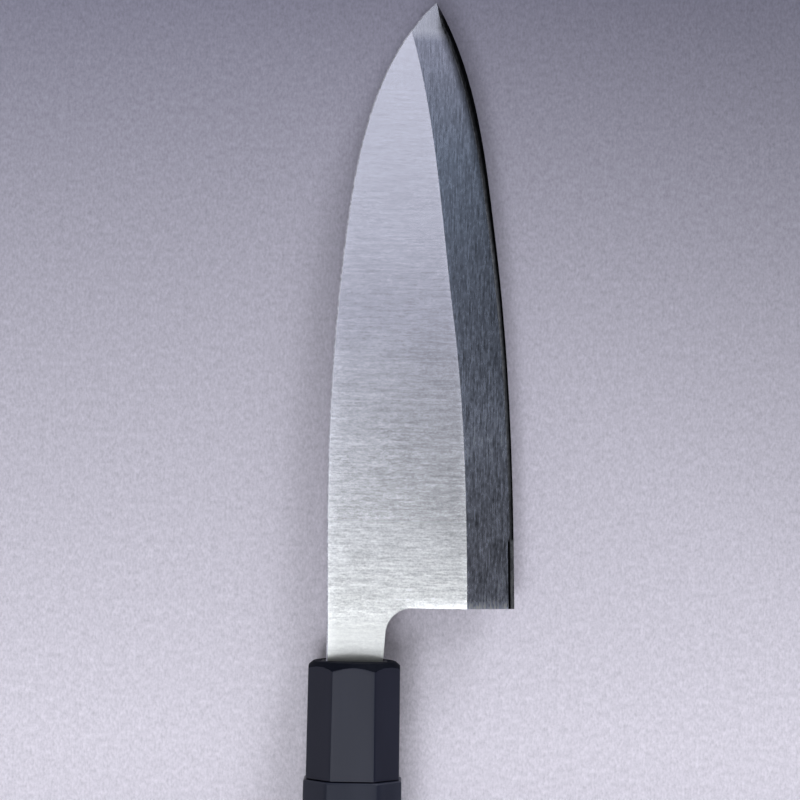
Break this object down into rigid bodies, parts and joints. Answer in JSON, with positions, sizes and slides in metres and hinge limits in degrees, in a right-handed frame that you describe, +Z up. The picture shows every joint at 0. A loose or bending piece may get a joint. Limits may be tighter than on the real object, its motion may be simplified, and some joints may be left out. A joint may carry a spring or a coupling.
{
  "type": "japanese kitchen knife",
  "caption": "Single-bevel Japanese fish knife: broad brushed steel blade with a square heel and round choil, black octagonal handle with a stepped collar.",
  "frame": {"origin": "middle of the bounding box, on the surface that the handle's lower flat lies on", "axes": "+Y along the handle from butt to tip, +X from spine to cutting edge, +Z up, out of the bevelled side"},
  "size_m": [0.0524, 0.2916, 0.0207],
  "materials": {
    "blade_steel": "satin, brushed across on the flat and lengthwise on the bevel",
    "collar_resin": "satin black",
    "handle_resin": "satin black",
    "dowel_wood": "raw",
    "cured_adhesive": "cured",
    "sealant": "matte"
  },
  "bodies": {
    "root": {"blade": "blade_steel", "collar": "collar_resin", "handle_body": "handle_resin", "dowel": "dowel_wood", "tang_adhesive": "cured_adhesive", "mouth_seal": "sealant"}
  },
  "joints": []
}
